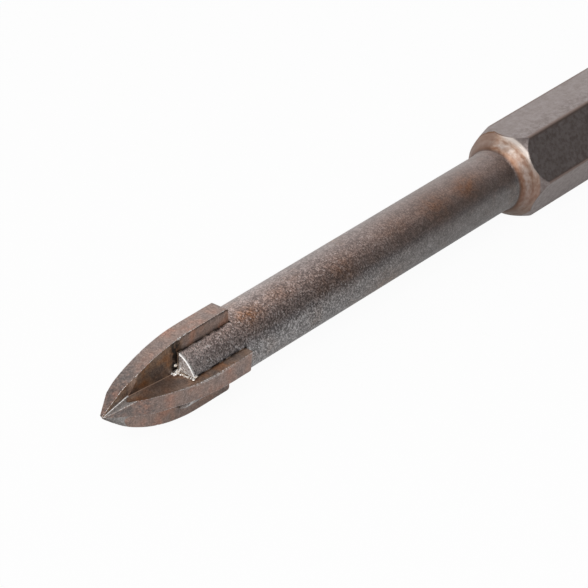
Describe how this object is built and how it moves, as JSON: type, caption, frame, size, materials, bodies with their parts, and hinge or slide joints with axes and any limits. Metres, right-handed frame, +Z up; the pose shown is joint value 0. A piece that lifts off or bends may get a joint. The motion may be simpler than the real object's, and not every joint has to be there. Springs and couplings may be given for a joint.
{
  "type": "glass and tile drill bit",
  "caption": "Drill bit with a cross-shaped brazed carbide spear point on a slim round shaft turned from a hexagon shank, lying on one flat of the shank.",
  "frame": {"origin": "centre of the shank's end face, on the bit's axis", "axes": "+X along the axis from the cutting point to the shank's end, +Z up, square to the flat that the bit lies on, Y across"},
  "size_m": [0.0721, 0.0072, 0.0064],
  "materials": {
    "steel_body": "tool steel, grit blasted to a fine dull grain with brown heat tint, the shoulder ring freshly turned",
    "carbide_cross": "sintered tungsten carbide, ground across the fins, with a thin brown oxide",
    "braze_filler": "silver solder, bright where it has flowed, dark with flux in the seam's pits"
  },
  "bodies": {
    "root": {"steel_body": "steel_body", "carbide_cross": "carbide_cross", "braze_filler": "braze_filler"}
  },
  "joints": []
}
